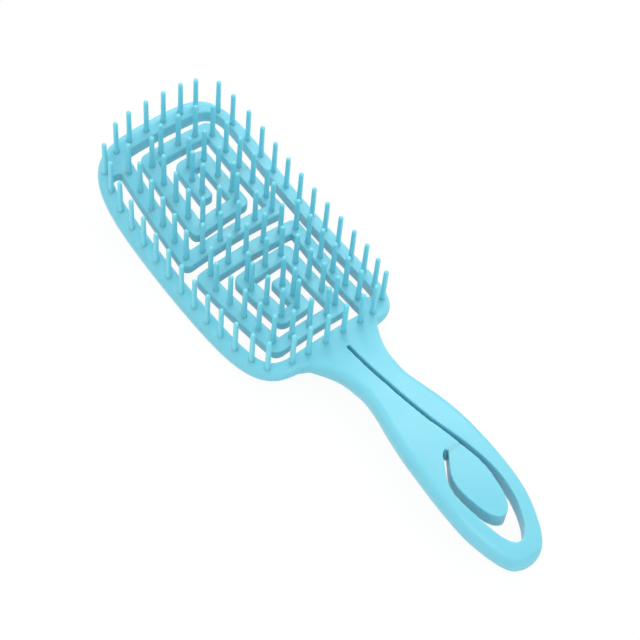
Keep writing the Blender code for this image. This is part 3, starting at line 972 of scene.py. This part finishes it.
def strip_section(sizes):
    """Round a strip's section: its edge, 0 on the left or 1, a length across from it, and depth."""
    top = STRIP_RECESS
    low = STRIP_RECESS + sizes.strip_thickness
    steps = ARC_STEPS // 2
    right = []
    for round_edge, depth, way in ((STRIP_TOP_EDGE, top, 1), (STRIP_BACK_EDGE, low, -1)):
        arc = []
        for step in range(steps + 1):
            angle = pi / 2 * step / steps
            arc.append((-round_edge * (1 - sin(angle)), depth + way * round_edge * (1 - cos(angle))))
        right += arc[::way]
    section = [(1 / 2, 0, top)] + [(1, aside, depth) for aside, depth in right]
    return section + [(1 / 2, 0, low)] + [(0, -aside, depth) for aside, depth in reversed(right)]


def strip_shell(mould, index, turn):
    """One strip, its section carried along both plan edges."""
    section = strip_section(mould.size)
    rings = []
    for left, right in strip_edges(mould, index, turn):
        across = right - left
        ring = []
        for edge, aside, depth in section:
            spot = left + across * (edge + aside / across.length)
            ring.append(mould.point(spot.x, spot.y, depth))
        rings.append(ring)
    return skin(rings)


class VENTBRUSH_OT_springs(bpy.types.Operator):
    """Builds the strips of the two spiral springs"""

    bl_idname = "vent_brush.springs"
    bl_label = "Spiral springs"

    def execute(self, context):
        mould = Mould(context.scene.vent_brush_sizes)
        finish = context.scene.vent_brush_finish
        for spring, turn in (("far", 1), ("near", -1)):
            for index, strip in enumerate(STRIP_NAMES):
                name = f"{spring}_spring_{strip}"
                mesh = new_mesh(name, strip_shell(mould, index, turn))
                piece = place_piece(name + "_strip", mesh, satin_face(finish), STRIP_SHARP_ANGLE)
                hinge, along = strip_hinge(mould, index, turn)
                middle = 0 if index else ROOT_CUT_DISTANCE + BLEND_LENGTH / 2
                for side in (-1, 1):
                    spot = hinge + along * (middle + BLEND_LENGTH / 2 * side)
                    rest_pose() @ mould.point(spot.x, spot.y, mould.size.strip_thickness / 2)
                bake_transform(piece)
                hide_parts(name)
        return {"FINISHED"}


# Pins

def pin_levels(sizes):
    """Height and radius of the rings of a pin, from the flare at its foot to its dome."""
    levels = [(-PIN_SINK, sizes.pin_base + PIN_FLARE_WIDTH)]
    for share in PIN_FLARE_SHARES:
        levels.append((PIN_FLARE_HEIGHT * share, sizes.pin_base + PIN_FLARE_WIDTH * (1 - share) ** 3))
    shoulder = sizes.pin_height - sizes.pin_tip
    for part in range(1, PIN_TAPER_PARTS + 1):
        share = part / PIN_TAPER_PARTS
        height = PIN_FLARE_HEIGHT + (shoulder - PIN_FLARE_HEIGHT) * share
        levels.append((height, sizes.pin_base + (sizes.pin_tip - sizes.pin_base) * share))
    for step in range(1, PIN_DOME_STEPS):
        angle = pi / 2 * step / PIN_DOME_STEPS
        levels.append((shoulder + sizes.pin_tip * sin(angle), sizes.pin_tip * cos(angle)))
    return levels


def pin_shell(mould, place):
    """One tapered pin with a domed tip, its flared foot following the crowned face."""
    s, t = place
    foot = mould.height(s, t)
    rings = []
    for height, radius in pin_levels(mould.size):
        straight = min(max(height / PIN_FLARE_HEIGHT, 0), 1)
        ring = []
        for k in range(PIN_SIDES):
            angle = 2 * pi * k / PIN_SIDES
            x = s + radius * cos(angle)
            y = t + radius * sin(angle)
            ground = mould.height(x, y)
            ring.append(Vector((x, y, ground + (foot - ground) * straight + height)))
        rings.append(ring)
    return skin(rings)


def rim_pin_places(mould):
    """Plan places of the pins on the rim: along the sides, across the ends, at the corners."""
    sizes = mould.size
    length_inside = sizes.head_half_length - END_PIN_INSET
    width_inside = sizes.head_half_width - SIDE_PIN_INSET
    reach = sizes.head_half_length - SIDE_PIN_END_INSET
    places = []
    for side in (-1, 1):
        for k in range(SIDE_PIN_COUNT):
            s = reach * (2 * k / (SIDE_PIN_COUNT - 1) - 1)
            places.append((s, side * outline_width(s, length_inside, width_inside)))
    for end in (-1, 1):
        for across in (END_PIN_PITCH / 2, END_PIN_PITCH * 3 / 2, END_PIN_OUTER):
            s = end * outline_width(across, width_inside, length_inside)
            places.extend([(s, across), (s, -across)])
        corner_s = end * CORNER_PIN_SHARES[0] * sizes.head_half_length
        corner_t = CORNER_PIN_SHARES[1] * sizes.head_half_width
        places.extend([(corner_s, corner_t), (corner_s, -corner_t)])
    return places


def strip_pin_places(mould, name, turn):
    """Plan places of the pins on one strip of a spring."""
    places = []
    for strip, first, last, count in SPIRAL_PIN_ROW_SHARES:
        if strip != name:
            continue
        for k in range(count):
            spot = Vector(first).lerp(Vector(last), k / max(count - 1, 1))
            places.append(tuple(mould.head_place(spot, turn)))
    return places


class VENTBRUSH_OT_pins(bpy.types.Operator):
    """Builds the pins on the rim and on every strip"""

    bl_idname = "vent_brush.pins"
    bl_label = "Pins"

    def execute(self, context):
        mould = Mould(context.scene.vent_brush_sizes)
        finish = context.scene.vent_brush_finish
        rows = [("rim_pins", "frame", rim_pin_places(mould))]
        for spring, turn in (("far", 1), ("near", -1)):
            for strip in STRIP_NAMES:
                places = strip_pin_places(mould, strip, turn)
                rows.append((f"{spring}_{strip}_pins", f"{spring}_{strip}_strip", places))
        for name, body, places in rows:
            mesh = new_mesh(name, join_shells([pin_shell(mould, place) for place in places]))
            piece = place_piece(name, mesh, polished_pin(finish), PIN_SHARP_ANGLE)
            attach(piece, body)
        return {"FINISHED"}


# Stage

# Floor: half its size in metres, its drop under the brush, and the paint's roller marks.
FLOOR_HALF_SIZE = 3.0
FLOOR_DROP = 0.05 * MM
ROLLER_SIZE = 2 * MM
ROLLER_RELIEF = 0.02 * MM
ROLLER_STRENGTH = 0.1
BOARD_ROUGHNESS = 0.6
# How white the floor shows to the camera, and the strength of the plain white light all round.
WHITE_SHARE = 0.93
AMBIENT = 0.80
# Lamps: name, azimuth and elevation in degrees, distance and size in metres, power in watts.
LAMPS = (
    ("back_softbox", 218, 54, 1.3, 0.9, 7.2),
    ("front_softbox", 52, 57, 1.3, 0.5, 3.6),
)


def direction_from(azimuth, elevation):
    """The way from the brush to a lamp. Azimuth 0 stands in front, at -Y, and 90 at +X."""
    a = radians(azimuth)
    e = radians(elevation)
    return Vector((sin(a) * cos(e), -cos(a) * cos(e), sin(e)))


def background_ray(tree):
    """1 for rays on which the background shows: straight, mirrored or seen through."""
    path = add_node(tree, "ShaderNodeLightPath")
    seen = path.outputs["Is Camera Ray"]
    for ray in ("Is Glossy Ray", "Is Transmission Ray"):
        either = add_node(
            tree,
            "ShaderNodeMath",
            settings={"operation": "MAXIMUM"},
            links={0: seen, 1: path.outputs[ray]},
        )
        seen = either.outputs[0]
    return seen


def floor_paint(finish):
    """Matt painted board: it shows nearly white and keeps a soft shadow of the brush."""
    made = bpy.data.materials.new("Matt painted board, white")
    made.use_nodes = True
    tree = made.node_tree
    tree.nodes.clear()
    place = add_node(tree, "ShaderNodeTexCoord").outputs["Object"]
    roller = add_node(
        tree,
        "ShaderNodeTexNoise",
        values={"Scale": 1 / ROLLER_SIZE, "Detail": 2},
        links={"Vector": place},
    )
    relief = add_node(
        tree,
        "ShaderNodeBump",
        values={"Strength": ROLLER_STRENGTH, "Distance": ROLLER_RELIEF},
        links={"Height": roller.outputs["Fac"]},
    )
    board = add_node(
        tree,
        "ShaderNodeBsdfDiffuse",
        values={"Color": (*finish.floor, 1), "Roughness": BOARD_ROUGHNESS},
        links={"Normal": relief.outputs["Normal"]},
    )
    white = add_node(tree, "ShaderNodeEmission", values={"Strength": 1.0})
    share = add_node(
        tree,
        "ShaderNodeMath",
        settings={"operation": "MULTIPLY"},
        values={1: WHITE_SHARE},
        links={0: background_ray(tree)},
    )
    both = add_node(
        tree,
        "ShaderNodeMixShader",
        links={0: share.outputs[0], 1: board.outputs[0], 2: white.outputs[0]},
    )
    add_node(tree, "ShaderNodeOutputMaterial", links={"Surface": both.outputs[0]})
    return made


def studio_world():
    """Plain white light all round, and a white background behind the floor."""
    made = bpy.data.worlds.new("White studio")
    made.use_nodes = True
    tree = made.node_tree
    tree.nodes.clear()
    light = add_node(tree, "ShaderNodeBackground", values={"Color": (1, 1, 1, 1), "Strength": AMBIENT})
    white = add_node(tree, "ShaderNodeBackground", values={"Color": (1, 1, 1, 1), "Strength": 1.0})
    seen = background_ray(tree)
    both = add_node(tree, "ShaderNodeMixShader", links={0: seen, 1: light.outputs[0], 2: white.outputs[0]})
    add_node(tree, "ShaderNodeOutputWorld", links={"Surface": both.outputs[0]})
    return made


class VENTBRUSH_OT_stage(bpy.types.Operator):
    """Sets the floor, the soft lamps and the camera"""

    bl_idname = "vent_brush.stage"
    bl_label = "Stage"

    def execute(self, context):
        scene = context.scene
        r = FLOOR_HALF_SIZE
        corners = [(x, y, -FLOOR_DROP) for x, y in ((-r, -r), (r, -r), (r, r), (-r, r))]
        floor = new_object("floor", new_mesh("floor", (corners, [(0, 1, 2, 3)])))
        floor.data.materials.append(floor_paint(scene.vent_brush_finish))
        scene.world = studio_world()
        for name, azimuth, elevation, distance, size, power in LAMPS:
            light = bpy.data.lights.new(name, "AREA")
            light.energy = power
            light.size = size
            lamp = new_object(name, light)
            way = direction_from(azimuth, elevation)
            lamp.location = way * distance
            lamp.rotation_euler = (-way).to_track_quat("-Z", "Y").to_euler()
        camera = new_object("camera", bpy.data.cameras.new("camera"))
        camera.data.lens = CAMERA_LENS
        camera.data.clip_start = CAMERA_CLIP_START
        camera.location = CAMERA_PLACE
        look = -direction_from(CAMERA_AZIMUTH, CAMERA_ELEVATION)
        camera.rotation_euler = look.to_track_quat("-Z", "Y").to_euler()
        scene.camera = camera
        scene.view_settings.view_transform = "Standard"
        return {"FINISHED"}


class VENTBRUSH_PT_panel(bpy.types.Panel):
    """Lists the steps that build the brush"""

    bl_label = "Vent brush"
    bl_idname = "VENTBRUSH_PT_panel"
    bl_space_type = "VIEW_3D"
    bl_region_type = "UI"
    bl_category = "Vent brush"

    def draw(self, context):
        for group in (context.scene.vent_brush_sizes, context.scene.vent_brush_finish):
            column = self.layout.column(align=True)
            for name in group.bl_rna.properties.keys():
                if name not in ("rna_type", "name"):
                    column.prop(group, name)
        for step in STEPS:
            self.layout.operator(step.bl_idname)


STEPS = (
    VENTBRUSH_OT_rim_and_handle,
    VENTBRUSH_OT_springs,
    VENTBRUSH_OT_pins,
    VENTBRUSH_OT_stage,
)
CLASSES = (VentBrushSizes, VentBrushFinish, *STEPS, VENTBRUSH_PT_panel)


def register():
    for each in CLASSES:
        bpy.utils.register_class(each)
    bpy.types.Scene.vent_brush_sizes = PointerProperty(type=VentBrushSizes)
    bpy.types.Scene.vent_brush_finish = PointerProperty(type=VentBrushFinish)


def unregister():
    del bpy.types.Scene.vent_brush_finish
    del bpy.types.Scene.vent_brush_sizes
    for each in reversed(CLASSES):
        bpy.utils.unregister_class(each)


def main():
    register()
    bpy.ops.vent_brush.rim_and_handle()
    bpy.ops.vent_brush.springs()
    bpy.ops.vent_brush.pins()
    bpy.ops.vent_brush.stage()


if __name__ == "__main__":
    main()
